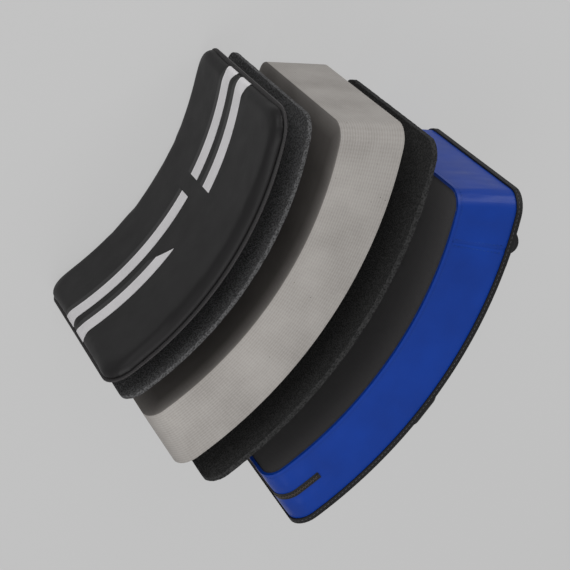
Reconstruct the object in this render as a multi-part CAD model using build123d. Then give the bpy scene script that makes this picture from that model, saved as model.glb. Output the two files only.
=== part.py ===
"""Curved Thai kick pad, opened out into its layers, standing on its lower long edge.

Frame, in millimetres: +Z runs across the pad's width, +X along its length towards the zip, and the
strike side faces -Y. The origin is the middle of the back binding's lower edge, on the floor.
Every layer is a slice of an arc whose ends come forward, so each one has a vertical centre line in
front of it, and an angle is measured at that line from +Y towards +X.
"""
from build123d import *
import os
from math import asin, cos, degrees, radians, sin, sqrt

# ---- cover at the back: the blue bag that carries the straps ----
PAD_WIDTH = 210.0          # height of the standing cover
COVER_DEPTH = 62.0         # front rim to back edge, along a radius
COVER_RADIUS = 426.0       # radius of the cover's back edge
COVER_ANGLE = 26.5         # half of the arc, in degrees
CORNER = 20.0              # corner radius of the outline
HEM_DEPTH = 3.0            # folded hem round the front
BINDING_DEPTH = 6.0        # black binding round the back
TRIM_PROUD = 1.5           # hem and binding stand out past the panels
PANEL_T = 2.2              # thickness of the side panels
LINING_RECESS = 0.6        # lining below the hem
LINING_T = 1.4
BACK_T = 3.5               # back panel
BACK_RECESS = 1.0          # back panel below the binding
SEAM_ANGLE = 19.0          # seam between side panel and end panel

# ---- zip round the +X end ----
ZIP_START = 19.85          # angle of the squared end of the tape
ZIP_SETBACK = 31.0         # zip centre behind the front rim
TAPE_WIDTH = 7.0
TAPE_T = 0.7
COIL_WIDTH = 2.8
COIL_T = 0.6
STOP_ANGLE = 0.35
SLIDER_REST_Z = 34.0
SLIDER_LENGTH = 11.0
SLIDER_WIDTH = 8.0
SLIDER_T = 3.6
PULL_LENGTH = 22.0
PULL_WIDTH = 5.0
PULL_T = 1.3
PULL_PIN_R = 0.8
EAR_T = 1.1

# ---- loose layers, from the back to the front: middle of the front face, radius, half angle ----
REAR_Y, REAR_RADIUS, REAR_ANGLE, REAR_T, REAR_WIDTH = -114.5, 442.0, 25.2, 5.5, 211.0
CORE_Y, CORE_RADIUS, CORE_ANGLE, CORE_T, CORE_WIDTH = -207.0, 352.0, 26.8, 63.0, 209.0
FRONT_Y, FRONT_RADIUS, FRONT_ANGLE, FRONT_T, FRONT_WIDTH = -242.5, 325.0, 27.5, 4.0, 215.0
STRIKE_Y, STRIKE_RADIUS, STRIKE_ANGLE, STRIKE_T, STRIKE_WIDTH = -275.5, 305.0, 27.6, 12.0, 218.0
CORE_CORNER = 18.0
STRIKE_CORNER = 24.0
STRIKE_ROLL = 8.0          # rounding round the strike face
LEATHER_T = 1.6
BACKING_T = 1.2
STRIPE_T = 0.4
STRIPE_WIDTH = 21.5
STRIPE_GAP = 12.5
STRIPE_MIDDLE_Z = 101.0
GRIP_STRIPE_END = -38.0    # where the stripes of the grip end stop, along the arc
ZIP_STRIPE_ENDS = (-20.0, 24.0)
STRIPE_POINT = 27.0        # length of the slanted tip

# ---- furniture on the back ----
PATCH_T = 3.0
PATCH_MARGIN = 4.0         # patch to the edge of the pad
PATCH_LENGTH = 32.0
STRAP_ANGLES = {"elbow": 14.1, "wrist": -2.4}
STRAP_WIDTH = 38.0
STRAP_T = 2.4
STRAP_FOOT = 20.0          # where a strap leaves its patch, from the edge of the patch
FOOT_SETBACK = 3.0         # end of the foot, from the edge of the patch
FOOT_BEND = 10.0
ARCH_ANGLE = 50.0          # slope of the arch where it leaves the foot
RING_WIRE_R = 1.75
RING_PITCH = 14.0          # between the ring's two long bars
RING_CORNER = 3.0
EYE_CLEARANCE = 0.25
KNUCKLE_CLEARANCE = 0.5
SIDE_CLEARANCE = 0.7
HOOK_T = 0.8
HOOK_GAP = 0.4
HOOK_MARGIN = 3.0
LOOP_EXTRA_ANGLE = 6.0     # the loop patch runs on past the hook patch
FLAP_LENGTH = 62.0
FOREARM_PAD_ANGLE = 4.45
FOREARM_PAD_LENGTH = 43.0
FOREARM_PAD_T = 10.0
FOREARM_PAD_MARGIN = 4.2
FOREARM_PAD_ROLL = 4.0

# ---- grip ----
GRIP_ANGLE = -17.8
GRIP_PATCH_WIDTH = 34.0
GRIP_STRAP_WIDTH = 18.0
GRIP_STRAP_T = 3.0
GRIP_SLOPE = 48.0
GRIP_HALF_ARC = 28.0       # half of the padded stretch, in degrees of its own arch
GRIP_R = 12.0
GRIP_LEATHER_T = 1.6
CUFF_LENGTH = 6.0
CUFF_T = 1.2

# ---- values that follow ----
BACK_OUTER = COVER_RADIUS + BINDING_DEPTH
CENTRE_Y = -(COVER_RADIUS + BINDING_DEPTH / 2)
RIM_RADIUS = COVER_RADIUS - COVER_DEPTH
PANEL_OUTER = BACK_OUTER - BACK_RECESS
BACK_INNER = PANEL_OUTER - BACK_T
INSIDE = TRIM_PROUD + PANEL_T
ZIP_RADIUS = RIM_RADIUS + ZIP_SETBACK
FAR = 1000.0
nodes = {}


def arc_point(centre_y, radius, angle):
    return (radius * sin(radians(angle)), centre_y + radius * cos(radians(angle)))


def sector(centre_y, r_in, r_out, angle, width, inset, corner):
    """Curved slab between two radii, its whole outline moved in by inset, with rounded corners."""
    a_in = angle - degrees(asin(inset / r_in))
    a_out = angle - degrees(asin(inset / r_out))
    outline = [
        ThreePointArc(*[arc_point(centre_y, r_out, a) for a in (-a_out, 0, a_out)]),
        Line(arc_point(centre_y, r_out, a_out), arc_point(centre_y, r_in, a_in)),
        ThreePointArc(*[arc_point(centre_y, r_in, a) for a in (a_in, 0, -a_in)]),
        Line(arc_point(centre_y, r_in, -a_in), arc_point(centre_y, r_out, -a_out)),
    ]
    slab = Pos(0, 0, inset) * extrude(make_face(outline), width - 2 * inset)
    ends = [e for e in slab.edges().filter_by(GeomType.LINE) if abs(e.tangent_at(0).Z) < 0.5]
    return fillet(ends, corner - inset)


def cover_slab(r_in, r_out, inset):
    return sector(CENTRE_Y, r_in, r_out, COVER_ANGLE, PAD_WIDTH, inset, CORNER)


def cover_ring(r_in, r_out, outer_inset, inner_inset):
    return cover_slab(r_in, r_out, outer_inset) - cover_slab(r_in, r_out, inner_inset)


def wedge(centre_y, angle_from, angle_to):
    """Everything between two angles, for cutting an arc to length."""
    middle = (angle_from + angle_to) / 2
    reach = [arc_point(centre_y, FAR, a) for a in (angle_from, middle, angle_to)]
    outline = Polyline((0, centre_y), *reach, close=True)
    return Pos(0, 0, -FAR / 2) * extrude(make_face(outline), FAR)


def on_back(angle):
    """Plane on the back panel: x along the arc, y straight out, z up the pad."""
    x, y = arc_point(CENTRE_Y, PANEL_OUTER, angle)
    along = (cos(radians(angle)), -sin(radians(angle)), 0)
    return Plane(origin=(x, y, 0), x_dir=along, z_dir=(0, 0, 1))


def back_cylinder():
    return Pos(0, CENTRE_Y, PAD_WIDTH / 2) * Cylinder(PANEL_OUTER, PAD_WIDTH)


def patch_on_back(angle, width, z_low, length):
    """Sewn patch with a flat top, its underside following the curved back."""
    depth = PATCH_T + width
    block = Pos(0, PATCH_T - depth / 2, z_low + length / 2) * Box(width, depth, length)
    upright = [e for e in block.edges().filter_by(Axis.Y)]
    return on_back(angle) * fillet(upright, 3.0) - back_cylinder()


def across(outline, u_from, u_to):
    """Extrude an outline drawn in (z, out) across a strap, from u_from to u_to."""
    face = Plane(origin=(u_from, 0, 0), x_dir=(0, 0, 1), z_dir=(-1, 0, 0)) * outline
    return extrude(face, u_to - u_from, dir=(1, 0, 0))


# ---- the cover ----
def build_cover():
    hem_back = RIM_RADIUS + HEM_DEPTH
    panels = cover_ring(hem_back, COVER_RADIUS, TRIM_PROUD, INSIDE)
    end_side = wedge(CENTRE_Y, -COVER_ANGLE - 10, -SEAM_ANGLE)
    nodes["front_hem"] = cover_ring(RIM_RADIUS, hem_back, 0, INSIDE)
    nodes["end_panel"] = panels & end_side
    nodes["side_panel"] = panels - end_side
    nodes["back_binding"] = cover_ring(COVER_RADIUS, BACK_OUTER, 0, INSIDE)
    lining_front = RIM_RADIUS + LINING_RECESS
    nodes["front_lining"] = cover_slab(lining_front, lining_front + LINING_T, INSIDE)
    nodes["base_block"] = cover_slab(lining_front + LINING_T, BACK_INNER, INSIDE)
    nodes["back_panel"] = cover_slab(BACK_INNER, PANEL_OUTER, INSIDE)


# ---- zip ----
def zip_band(width, inset_out, inset_in, angle_from):
    low, high = ZIP_RADIUS - width / 2, ZIP_RADIUS + width / 2
    return cover_ring(low, high, inset_out, inset_in) & wedge(CENTRE_Y, angle_from, COVER_ANGLE + 10)


def build_zip():
    tape_top = TRIM_PROUD - TAPE_T
    coil_top = tape_top - COIL_T
    coil_start = ZIP_START + STOP_ANGLE
    nodes["zip_tape"] = zip_band(TAPE_WIDTH, tape_top, TRIM_PROUD, ZIP_START)
    nodes["zip_coil"] = zip_band(COIL_WIDTH, coil_top, tape_top, coil_start)
    stops = zip_band(COIL_WIDTH + 1.4, coil_top - 0.1, tape_top, ZIP_START)
    stops = stops & wedge(CENTRE_Y, ZIP_START, coil_start)
    lower, upper = stops.solids().sort_by(Axis.Z)
    nodes["zip_stop_lower"] = lower
    nodes["zip_stop_upper"] = upper


def zip_end_plane():
    """On the +X end: x along the radius, y up, z out; z = 0 is where hem and binding end."""
    x, y = arc_point(CENTRE_Y, ZIP_RADIUS, COVER_ANGLE)
    outward = (cos(radians(COVER_ANGLE)), -sin(radians(COVER_ANGLE)), 0)
    radial = (sin(radians(COVER_ANGLE)), cos(radians(COVER_ANGLE)), 0)
    return Plane(origin=(x, y, 0), x_dir=radial, z_dir=outward)


def build_zip_slider():
    clearance = 0.3
    foot = TAPE_T - TRIM_PROUD + clearance
    groove_top = foot - clearance + COIL_T + clearance + 0.1
    top = foot + SLIDER_T
    pin_out = top + 2.4
    middle = (foot + top) / 2
    body = Pos(0, 0, middle) * Box(SLIDER_WIDTH, SLIDER_LENGTH, SLIDER_T)
    body = fillet(body.edges().filter_by(Axis.Z), 2.0)
    groove = Box(COIL_WIDTH + 2 * clearance, SLIDER_LENGTH + 2, 2 * (groove_top - foot))
    body -= Pos(0, 0, foot) * groove
    ear_x = PULL_T + 1.6
    for side in (-1, 1):
        ear = Pos(side * ear_x, 0, (top + pin_out + 1.6) / 2) * Box(EAR_T, 4.0, pin_out + 1.6 - top)
        body += ear
    pin = Pos(0, 0, pin_out) * Rot(0, 90, 0) * Cylinder(PULL_PIN_R, 2 * ear_x)
    body += pin
    eye_width = 2 * (ear_x - EAR_T / 2 - clearance)
    eye = Cylinder(2.0, eye_width) - Cylinder(PULL_PIN_R + 0.2, eye_width)
    pull = Pos(0, 0, pin_out) * Rot(0, 90, 0) * eye
    neck = Pos(0, -3.4, pin_out) * Box(eye_width, 4.0, PULL_T)
    blade = Pos(0, -4.4 - PULL_LENGTH / 2, pin_out) * Box(PULL_WIDTH, PULL_LENGTH, PULL_T)
    blade = fillet(blade.edges().filter_by(Axis.Z), 1.4)
    pull = pull + neck + blade
    place = zip_end_plane() * Pos(0, SLIDER_REST_Z, 0)
    nodes["zip_slider"] = place * body
    nodes["zip_pull"] = place * pull


# ---- loose layers ----
def build_layers():
    layers = {
        "rear_foam": (REAR_Y, REAR_RADIUS, REAR_ANGLE, REAR_T, REAR_WIDTH, CORNER),
        "core_block": (CORE_Y, CORE_RADIUS, CORE_ANGLE, CORE_T, CORE_WIDTH, CORE_CORNER),
        "front_foam": (FRONT_Y, FRONT_RADIUS, FRONT_ANGLE, FRONT_T, FRONT_WIDTH, CORE_CORNER),
    }
    for name, (front_y, radius, angle, thickness, width, corner) in layers.items():
        centre_y = front_y - radius
        nodes[name] = sector(centre_y, radius, radius + thickness, angle, width, 0, corner)


def strike_solid(grow, back_radius):
    """The strike panel's outside grown by a skin thickness, its front edge rolled."""
    centre_y = STRIKE_Y - STRIKE_RADIUS
    front = STRIKE_RADIUS - grow
    body = sector(centre_y, front, back_radius, STRIKE_ANGLE, STRIKE_WIDTH, -grow, STRIKE_CORNER)
    curved = [f for f in body.faces() if f.geom_type == GeomType.CYLINDER]
    face = min(curved, key=lambda f: abs(f.radius - front))
    return fillet(face.edges(), STRIKE_ROLL + grow)


def stripe_cutter(z_low, arc_from, arc_to, tip):
    """Region of one stripe on the developed face; tip slants its start towards the middle."""
    outline = [(arc_from, z_low), (arc_to, z_low), (arc_to, z_low + STRIPE_WIDTH)]
    outline.append((arc_from + tip, z_low + STRIPE_WIDTH))
    if tip < 0:
        outline[0] = (arc_from - tip, z_low)
        outline[3] = (arc_from, z_low + STRIPE_WIDTH)
    centre_y = STRIKE_Y - STRIKE_RADIUS
    points = [(STRIKE_RADIUS * sin(s / STRIKE_RADIUS), z) for s, z in outline]
    face = Plane(origin=(0, centre_y, 0), x_dir=(1, 0, 0), z_dir=(0, -1, 0)) * make_face(
        Polyline(*points, close=True))
    return extrude(face, FAR / 2, dir=(0, 1, 0))


def build_strike_panel():
    back = STRIKE_RADIUS + STRIKE_T
    outside = strike_solid(0, back)
    inside = strike_solid(-LEATHER_T, back)
    centre_y = STRIKE_Y - STRIKE_RADIUS
    front_part = Pos(0, centre_y, STRIKE_WIDTH / 2) * Cylinder(back - BACKING_T, 2 * STRIKE_WIDTH)
    nodes["strike_cover"] = outside - inside
    nodes["strike_padding"] = inside & front_part
    nodes["strike_backing"] = inside - front_part
    skin = strike_solid(STRIPE_T, back) - outside
    reach = STRIKE_RADIUS * radians(60)
    low = STRIPE_MIDDLE_Z - STRIPE_GAP / 2 - STRIPE_WIDTH
    high = STRIPE_MIDDLE_Z + STRIPE_GAP / 2
    nodes["stripe_grip_low"] = skin & stripe_cutter(low, -reach, GRIP_STRIPE_END, 0)
    nodes["stripe_grip_high"] = skin & stripe_cutter(high, -reach, GRIP_STRIPE_END, 0)
    nodes["stripe_zip_low"] = skin & stripe_cutter(low, ZIP_STRIPE_ENDS[0], reach, 0)
    nodes["stripe_zip_high"] = skin & stripe_cutter(high, ZIP_STRIPE_ENDS[1], reach, -STRIPE_POINT)


# ---- arched straps, drawn in (z, out) over their patches ----
class Arch:
    """A strap's line: flat foot, bend, then one arc over the middle of the pad, the same each side."""

    def __init__(self, slope, thickness, bend=FOOT_BEND):
        turn = radians(slope)
        self.slope, self.half_t, self.bend = slope, thickness / 2, bend
        self.foot_z = PATCH_MARGIN + STRAP_FOOT
        self.foot_v = PATCH_T + self.half_t
        start_z = self.foot_z + bend * sin(turn)
        self.radius = (PAD_WIDTH / 2 - start_z) / sin(turn)
        self.centre_v = self.foot_v + bend - (bend + self.radius) * cos(turn)

    def point(self, angle, offset=0.0):
        out = self.radius + offset
        return (PAD_WIDTH / 2 + out * sin(radians(angle)), self.centre_v + out * cos(radians(angle)))

    def band(self, angle_from, angle_to, offset_in=None, offset_out=None):
        """Stretch of the arc between two offsets, the strap's own faces if none are given."""
        low = -self.half_t if offset_in is None else offset_in
        high = self.half_t if offset_out is None else offset_out
        middle = (angle_from + angle_to) / 2
        outer = ThreePointArc(*[self.point(a, high) for a in (angle_from, middle, angle_to)])
        inner = ThreePointArc(*[self.point(a, low) for a in (angle_to, middle, angle_from)])
        return make_face([outer, Line(outer @ 1, inner @ 0), inner, Line(inner @ 1, outer @ 0)])

    def foot(self):
        """Flat foot and bend at the low edge."""
        low, high, turn = self.bend + self.half_t, self.bend - self.half_t, radians(self.slope)
        under = ThreePointArc(*[self.bend_point(low, t) for t in (0, turn / 2, turn)])
        over = ThreePointArc(*[self.bend_point(high, t) for t in (turn, turn / 2, 0)])
        end_z = PATCH_MARGIN + FOOT_SETBACK
        end_low, end_high = (end_z, self.foot_v - self.half_t), (end_z, self.foot_v + self.half_t)
        sides = [Line(end_low, under @ 0), Line(under @ 1, over @ 0), Line(over @ 1, end_high)]
        return make_face([under, over, *sides, Line(end_high, end_low)])

    def bend_point(self, radius, turn):
        return (self.foot_z + radius * sin(turn), self.foot_v + self.bend - radius * cos(turn))


ARM_ARCH = Arch(ARCH_ANGLE, STRAP_T)
GRIP_ARCH = Arch(GRIP_SLOPE, GRIP_STRAP_T)
RING_ANGLE = ARCH_ANGLE - 2 * degrees(asin(RING_PITCH / 2 / ARM_ARCH.radius))
EYE_R = RING_WIRE_R + EYE_CLEARANCE
EYE_OUTER = EYE_R + STRAP_T


def high_side(shape):
    """The low edge's shape, carried over to the high edge."""
    return Pos(0, 0, PAD_WIDTH) * mirror(shape, Plane.XY)


def eye(angle, radius, u_from, u_to):
    z, v = ARM_ARCH.point(angle)
    return across(Pos(z, v) * Circle(radius), u_from, u_to)


def build_ring():
    (z_a, v_a), (z_b, v_b) = ARM_ARCH.point(ARCH_ANGLE), ARM_ARCH.point(RING_ANGLE)
    middle = (0, (v_a + v_b) / 2, (z_a + z_b) / 2)
    reach = STRAP_WIDTH + 2 * SIDE_CLEARANCE + 2 * RING_WIRE_R
    normal = Vector(1, 0, 0).cross(Vector(0, v_b - v_a, z_b - z_a))
    plane = Plane(origin=middle, x_dir=(1, 0, 0), z_dir=normal)
    wire = (plane * RectangleRounded(reach, RING_PITCH, RING_CORNER)).wires()[0]
    profile = Plane(origin=wire @ 0, z_dir=wire % 0) * Circle(RING_WIRE_R)
    return sweep(profile, path=wire)


def build_strap(name, angle):
    """One forearm strap: patches, strap, ring and its keeper, and the flap that folds back."""
    place = on_back(angle)
    half, half_t = STRAP_WIDTH / 2, STRAP_T / 2
    high_patch = PAD_WIDTH - PATCH_MARGIN - PATCH_LENGTH
    nodes[f"{name}_anchor_low"] = patch_on_back(angle, STRAP_WIDTH, PATCH_MARGIN, PATCH_LENGTH)
    nodes[f"{name}_anchor_high"] = patch_on_back(angle, STRAP_WIDTH, high_patch, PATCH_LENGTH)
    nodes[f"{name}_ring"] = place * build_ring()

    knuckle = STRAP_WIDTH / 4
    relief = degrees((EYE_OUTER + KNUCKLE_CLEARANCE) / ARM_ARCH.radius)
    band = across(ARM_ARCH.foot(), -half, half)
    band += across(ARM_ARCH.band(-ARCH_ANGLE, RING_ANGLE - relief), -half, half)
    for u_from, u_to in ((-half, -knuckle), (knuckle, half)):
        lug = across(ARM_ARCH.band(RING_ANGLE - relief - 1, RING_ANGLE), u_from, u_to)
        band += lug + eye(RING_ANGLE, EYE_OUTER, u_from, u_to)
    nodes[f"{name}_strap"] = place * (band - eye(RING_ANGLE, EYE_R, -half, half))

    keeper = across(ARM_ARCH.foot(), -half, half) + eye(-ARCH_ANGLE, EYE_OUTER, -half, half)
    nodes[f"{name}_keeper"] = place * high_side(keeper - eye(-ARCH_ANGLE, EYE_R, -half, half))

    flap_in = half_t + 2 * HOOK_T + HOOK_GAP
    flap_out = flap_in + STRAP_T
    flap_start = RING_ANGLE - relief - 1
    flap_end = flap_start - degrees(FLAP_LENGTH / ARM_ARCH.radius)
    tongue = knuckle - KNUCKLE_CLEARANCE
    flap = across(ARM_ARCH.band(flap_end, flap_start, flap_in, flap_out), -half, half)
    flap += across(ARM_ARCH.band(flap_start, RING_ANGLE, flap_in, flap_out), -tongue, tongue)
    flap += eye(RING_ANGLE, EYE_OUTER, -tongue, tongue)
    nodes[f"{name}_flap"] = place * (flap - eye(RING_ANGLE, EYE_R, -tongue, tongue))

    pad_half = half - HOOK_MARGIN
    pad_end = flap_end + degrees(HOOK_MARGIN / ARM_ARCH.radius)
    hook = ARM_ARCH.band(pad_end, flap_start, flap_in - HOOK_T, flap_in)
    loop = ARM_ARCH.band(pad_end - LOOP_EXTRA_ANGLE, flap_start, half_t, half_t + HOOK_T)
    nodes[f"{name}_hook_patch"] = place * across(hook, -pad_half, pad_half)
    nodes[f"{name}_loop_patch"] = place * across(loop, -pad_half, pad_half)


def build_forearm_pad():
    half = degrees(FOREARM_PAD_LENGTH / 2 / PANEL_OUTER)
    outer = PANEL_OUTER + FOREARM_PAD_T
    pad = sector(CENTRE_Y, PANEL_OUTER, outer, half, PAD_WIDTH - 2 * FOREARM_PAD_MARGIN, 0, 8.0)
    top = max((f for f in pad.faces() if f.geom_type == GeomType.CYLINDER), key=lambda f: f.radius)
    pad = fillet(top.edges(), FOREARM_PAD_ROLL)
    turn = Pos(0, CENTRE_Y, 0) * Rot(0, 0, -FOREARM_PAD_ANGLE) * Pos(0, -CENTRE_Y, 0)
    nodes["forearm_pad"] = turn * Pos(0, 0, FOREARM_PAD_MARGIN) * pad


# ---- grip ----
def grip_tube(radius, angle_from, angle_to):
    """Round bar along the grip's arch."""
    z, v = GRIP_ARCH.point(angle_from)
    out = (0, cos(radians(angle_from)), sin(radians(angle_from)))
    along = (0, -sin(radians(angle_from)), cos(radians(angle_from)))
    profile = Plane(origin=(0, v, z), x_dir=out, z_dir=along) * Circle(radius)
    axis = Axis((0, GRIP_ARCH.centre_v, PAD_WIDTH / 2), (1, 0, 0))
    return revolve(profile, axis, angle_to - angle_from)


def build_grip():
    place = on_back(GRIP_ANGLE)
    half = GRIP_STRAP_WIDTH / 2
    high_patch = PAD_WIDTH - PATCH_MARGIN - PATCH_LENGTH
    nodes["grip_patch_low"] = patch_on_back(
        GRIP_ANGLE, GRIP_PATCH_WIDTH, PATCH_MARGIN, PATCH_LENGTH)
    nodes["grip_patch_high"] = patch_on_back(GRIP_ANGLE, GRIP_PATCH_WIDTH, high_patch, PATCH_LENGTH)
    foot = across(GRIP_ARCH.foot(), -half, half)
    strap = across(GRIP_ARCH.band(-GRIP_SLOPE, GRIP_SLOPE), -half, half) + foot + high_side(foot)
    nodes["grip_strap"] = place * strap
    core_r = GRIP_R - GRIP_LEATHER_T
    core = grip_tube(core_r, -GRIP_HALF_ARC, GRIP_HALF_ARC)
    nodes["grip_padding"] = place * (core - strap)
    nodes["grip_sleeve"] = place * (grip_tube(GRIP_R, -GRIP_HALF_ARC, GRIP_HALF_ARC) - core)
    cuff_arc = degrees(CUFF_LENGTH / GRIP_ARCH.radius)
    for end, start in (("low", -GRIP_HALF_ARC), ("high", GRIP_HALF_ARC - cuff_arc)):
        cuff = grip_tube(GRIP_R + CUFF_T, start, start + cuff_arc)
        nodes[f"grip_cuff_{end}"] = place * (cuff - grip_tube(GRIP_R, start, start + cuff_arc))


build_cover()
build_zip()
build_zip_slider()
build_layers()
build_strike_panel()
for strap_name, strap_angle in STRAP_ANGLES.items():
    build_strap(strap_name, strap_angle)
build_forearm_pad()
build_grip()

os.makedirs("parts", exist_ok=True)
for node_name, shape in nodes.items():
    export_step(shape, f"parts/{node_name}.step")
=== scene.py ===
"""Curved Thai kick pad opened out into its layers, in metres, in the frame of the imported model.

+X runs along the pad to its zip end, +Y out of the back with the straps, +Z up the pad's width.
Every layer is first made flat, its length along X and its width along Z, and then bent forward
round its own upright centre line.
"""
import math

import bmesh
import bpy
from mathutils import Matrix, Vector, noise


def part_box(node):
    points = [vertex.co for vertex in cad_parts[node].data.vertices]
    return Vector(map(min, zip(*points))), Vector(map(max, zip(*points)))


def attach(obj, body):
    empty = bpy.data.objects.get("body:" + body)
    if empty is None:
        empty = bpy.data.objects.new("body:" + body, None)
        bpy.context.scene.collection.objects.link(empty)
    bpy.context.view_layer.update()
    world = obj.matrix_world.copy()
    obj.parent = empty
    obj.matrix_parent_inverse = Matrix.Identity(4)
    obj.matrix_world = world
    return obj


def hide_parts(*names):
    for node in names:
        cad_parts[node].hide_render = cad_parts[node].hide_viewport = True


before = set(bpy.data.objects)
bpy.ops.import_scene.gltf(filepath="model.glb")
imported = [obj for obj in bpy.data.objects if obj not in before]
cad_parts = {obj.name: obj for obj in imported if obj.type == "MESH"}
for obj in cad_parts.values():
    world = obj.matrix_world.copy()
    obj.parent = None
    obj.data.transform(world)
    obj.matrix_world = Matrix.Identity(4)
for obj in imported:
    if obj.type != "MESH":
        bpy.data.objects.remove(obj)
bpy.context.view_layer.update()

MM = 0.001
node_box = {name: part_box(name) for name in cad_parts}

# ---- sizes shared with the construction, in metres ----
PAD_WIDTH = node_box["back_binding"][1].z
BACK_Y = -429 * MM              # centre line of the cover
RIM_R, HEM_R, COVER_R, BINDING_R = 364 * MM, 367 * MM, 426 * MM, 432 * MM
PANEL_R = 431 * MM              # outer face of the back panel
COVER_ANGLE = math.radians(26.5)
SEAM_ANGLE = math.radians(-19)
TRIM_PROUD, WALL = 1.5 * MM, 2.2 * MM
CORNER = 20 * MM
ZIP_R, ZIP_START = 395 * MM, math.radians(19.85)

# front radius, half angle, thickness, corner radius of each loose layer
STRIKE = dict(node="strike_cover", radius=305 * MM, angle=27.6, thick=12 * MM, corner=24 * MM)
FRONT = dict(node="front_foam", radius=325 * MM, angle=27.5, thick=4 * MM, corner=18 * MM)
CORE = dict(node="core_block", radius=352 * MM, angle=26.8, thick=63 * MM, corner=18 * MM)
REAR = dict(node="rear_foam", radius=442 * MM, angle=25.2, thick=5.5 * MM, corner=20 * MM)


# ---- small helpers ----
def only(obj):
    """Make obj the one selected and active object."""
    if bpy.context.object and bpy.context.object.mode == "EDIT":
        bpy.ops.object.mode_set(mode="OBJECT")
    bpy.ops.object.select_all(action="DESELECT")
    obj.select_set(True)
    bpy.context.view_layer.objects.active = obj


def fresh(name):
    """The primitive just added, named and with its place moved into its mesh."""
    obj = bpy.context.object
    obj.name = obj.data.name = name
    bpy.ops.object.transform_apply(location=True, rotation=True, scale=True)
    return obj


def edit(obj, mode="VERT"):
    only(obj)
    bpy.ops.object.mode_set(mode="EDIT")
    bpy.ops.mesh.select_mode(type=mode)
    bpy.ops.mesh.select_all(action="SELECT")


def done(obj):
    bpy.ops.object.mode_set(mode="OBJECT")
    return obj


def pick(obj, kind, test):
    """In edit mode, select the vertices, edges or faces that pass a test."""
    bpy.ops.mesh.select_all(action="DESELECT")
    mesh = bmesh.from_edit_mesh(obj.data)
    for item in getattr(mesh, kind):
        if test(item):
            item.select_set(True)
    mesh.select_flush_mode()
    bmesh.update_edit_mesh(obj.data)


def modify(obj, kind, **settings):
    """Add a modifier and apply it."""
    only(obj)
    modifier = obj.modifiers.new(kind.lower(), kind)
    for key, value in settings.items():
        setattr(modifier, key, value)
    bpy.ops.object.modifier_apply(modifier=modifier.name)
    return obj


def shift(obj, x=0.0, y=0.0, z=0.0):
    obj.data.transform(Matrix.Translation((x, y, z)))
    return obj


def smooth(obj, angle=35):
    only(obj)
    bpy.ops.object.shade_smooth_by_angle(angle=math.radians(angle), keep_sharp_edges=False)
    return obj


def outward(obj):
    edit(obj)
    bpy.ops.mesh.remove_doubles(threshold=0.01 * MM)
    bpy.ops.mesh.normals_make_consistent(inside=False)
    return done(obj)


def copy_of(obj, name):
    only(obj)
    bpy.ops.object.duplicate()
    twin = bpy.context.object
    twin.name = twin.data.name = name
    return twin


def join(pieces, name):
    only(pieces[0])
    for piece in pieces:
        piece.select_set(True)
    bpy.ops.object.join()
    pieces[0].name = pieces[0].data.name = name
    return pieces[0]


def place(obj, body, material, nodes=(), slot=None):
    """Give a finished piece its material and its body, and hide the CAD nodes that it stands for."""
    obj.data.materials.clear()
    obj.data.materials.append(material)
    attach(obj, body)
    if nodes:
        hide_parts(*nodes)
    return obj


# ---- flat work: plates, bends and walls ----
def plate(name, length, width, corner, step, step_z=None):
    """Flat sheet in XZ facing -Y with rounded corners, cut into a grid so that it bends evenly."""
    bpy.ops.object.select_all(action="DESELECT")
    bpy.ops.mesh.primitive_plane_add(size=1, rotation=(math.pi / 2, 0, 0))
    obj = bpy.context.object
    obj.scale = (length, width, 1)
    obj = fresh(name)
    edit(obj)
    if corner:
        bpy.ops.mesh.bevel(offset=corner, segments=8, affect="VERTICES")
    for size, axis, gap in ((length, (1, 0, 0), step), (width, (0, 0, 1), step_z or step)):
        cuts = max(1, round(size / gap))
        for i in range(1, cuts):
            at = size * (i / cuts - 0.5)
            bpy.ops.mesh.select_all(action="SELECT")
            bpy.ops.mesh.bisect(plane_co=[at * a for a in axis], plane_no=axis)
    return done(obj)


def thicken(obj, depth):
    """Turn a flat sheet into a slab that runs from y = 0 to y = depth."""
    edit(obj)
    bpy.ops.mesh.extrude_region_move(TRANSFORM_OT_translate={"value": (0, depth, 0)})
    bpy.ops.mesh.select_all(action="SELECT")
    bpy.ops.mesh.normals_make_consistent(inside=False)
    return done(obj)


def is_rim(edge, y):
    """Edge between a wall and the flat face at this y."""
    flat = [abs(face.normal.y) > 0.9 for face in edge.link_faces]
    return len(flat) == 2 and flat[0] != flat[1] and all(abs(v.co.y - y) < 1e-6 for v in edge.verts)


def round_rim(obj, y, amount, segments):
    edit(obj, "EDGE")
    pick(obj, "edges", lambda e: is_rim(e, y))
    bpy.ops.mesh.bevel(offset=amount, segments=segments, profile=0.5)
    return done(obj)


def soften(obj, amount, segments=2, angle=50):
    """Bevel every edge that is sharper than an angle."""
    return modify(obj, "BEVEL", width=amount, segments=segments, limit_method="ANGLE",
                  angle_limit=math.radians(angle))


def flat_map(obj):
    """UV map of the flat sheet in metres, so that a weave follows the piece when it bends."""
    layer = obj.data.uv_layers.new(name="flat")
    for loop in obj.data.loops:
        co = obj.data.vertices[loop.vertex_index].co
        layer.data[loop.index].uv = (co.x, co.z + co.y)
    return obj


def bend(obj, radius):
    """Bend flat work about the upright line radius behind y = 0, ends forward."""
    xs = [v.co.x for v in obj.data.vertices]
    turn = -(max(xs) - min(xs)) / radius
    return modify(obj, "SIMPLE_DEFORM", deform_method="BEND", deform_axis="Z", angle=turn)


def layer_slab(name, size, inset, y_from, depth, roll, step):
    """Flat slab of a loose layer; its length is taken half way between the layer's two radii."""
    low, high = node_box[size["node"]]
    middle = size["radius"] + size["thick"] / 2
    length = 2 * middle * math.radians(size["angle"]) - 2 * inset
    slab = thicken(plate(name, length, high.z - low.z - 2 * inset, size["corner"] - inset, step), depth)
    shift(slab, y=y_from)
    return soften(slab, roll) if roll else slab


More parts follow.
